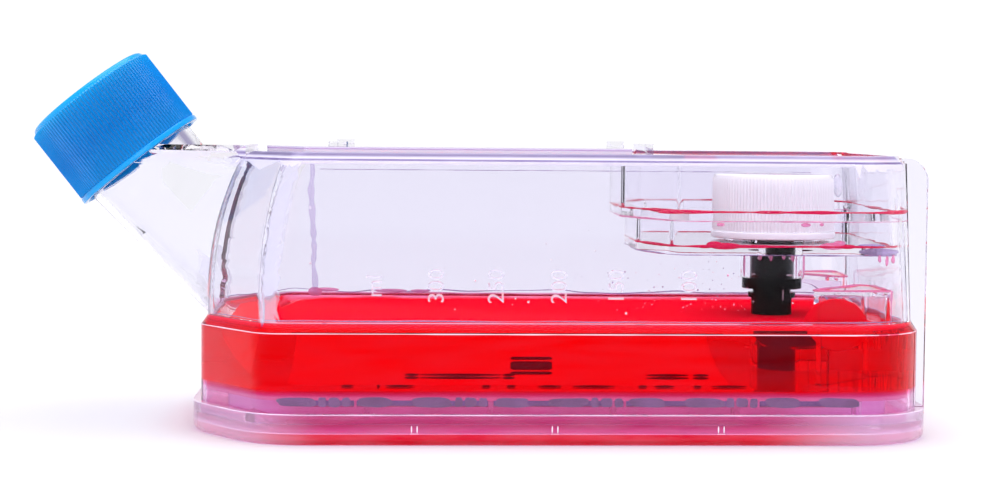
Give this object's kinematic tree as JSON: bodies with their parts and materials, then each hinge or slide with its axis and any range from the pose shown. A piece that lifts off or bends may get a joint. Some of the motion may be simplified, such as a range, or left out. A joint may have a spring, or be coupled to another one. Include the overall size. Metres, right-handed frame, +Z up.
{
  "type": "cell culture flask",
  "caption": "Clear two-compartment culture flask with an angled filler neck, a membrane cell chamber under the medium and a capped cell port in a roof recess.",
  "frame": {"origin": "on the resting plane, under the middle of the overall length and width", "axes": "+X from the filler neck towards the standing fins, +Z up, Y = 0 is the plane of symmetry"},
  "size_m": [0.2022, 0.092, 0.0849],
  "materials": {
    "clear_plastic": "clear moulded polystyrene, polished",
    "clear_plastic_base": "clear moulded polystyrene",
    "clear_plastic_frame": "clear moulded polystyrene",
    "clear_plastic_screen": "clear moulded polystyrene",
    "clear_plastic_grid": "clear moulded polystyrene",
    "dialysis_sheet": "thin translucent cellulose sheet",
    "cell_liquid": "pink liquid, slightly cloudy",
    "grey_elastomer": "smooth moulded elastomer",
    "silicone_sheet": "thin translucent silicone sheet",
    "red_medium": "clear red liquid",
    "black_elastomer": "satin black elastomer",
    "black_tube": "satin black elastomer",
    "black_gland": "satin black elastomer",
    "blue_cap_plastic": "moulded polyethylene with fine grip flutes",
    "cap_liner": "soft foamed liner",
    "white_cap_plastic": "moulded polyethylene with fine grip flutes",
    "port_liner": "soft foamed liner"
  },
  "bodies": {
    "flask": {"flask_housing": "clear_plastic", "base_tray": "clear_plastic_base", "membrane_frame": "clear_plastic_frame", "upper_support_grid": "clear_plastic_screen", "dialysis_membrane": "dialysis_sheet", "cell_suspension": "cell_liquid", "cell_gasket": "grey_elastomer", "silicone_membrane": "silicone_sheet", "lower_support_grid": "clear_plastic_grid", "medium": "red_medium", "port_coupling": "black_elastomer", "dip_tube": "black_tube", "port_gland": "black_gland"},
    "medium_cap_liner": {"medium_cap_liner": "cap_liner"},
    "medium_cap": {"medium_cap": "blue_cap_plastic"},
    "port_cap_liner": {"port_cap_liner": "port_liner"},
    "port_cap": {"port_cap": "white_cap_plastic"}
  },
  "joints": [
    {"name": "medium_cap_lift", "type": "slide", "parent": "flask", "child": "medium_cap_liner", "axis": [-0.6157, 0, 0.788], "range_m": [0, 0.006]},
    {"name": "medium_cap_turn", "type": "hinge", "parent": "medium_cap_liner", "child": "medium_cap", "pos_m": [-0.07667, 0, 0.0597], "axis": [-0.6157, 0, 0.788], "range_deg": [0, 540]},
    {"name": "port_cap_lift", "type": "slide", "parent": "flask", "child": "port_cap_liner", "axis": [0, 0, 1], "range_m": [0, 0.00375]},
    {"name": "port_cap_turn", "type": "hinge", "parent": "port_cap_liner", "child": "port_cap", "pos_m": [0.07163, 0, 0.0424], "axis": [0, 0, 1], "range_deg": [0, 450]}
  ],
  "couplings": [
    {"joint": "medium_cap_turn", "follows": "medium_cap_lift", "rad_per_m": 1570.8},
    {"joint": "port_cap_turn", "follows": "port_cap_lift", "rad_per_m": 2094.4}
  ]
}
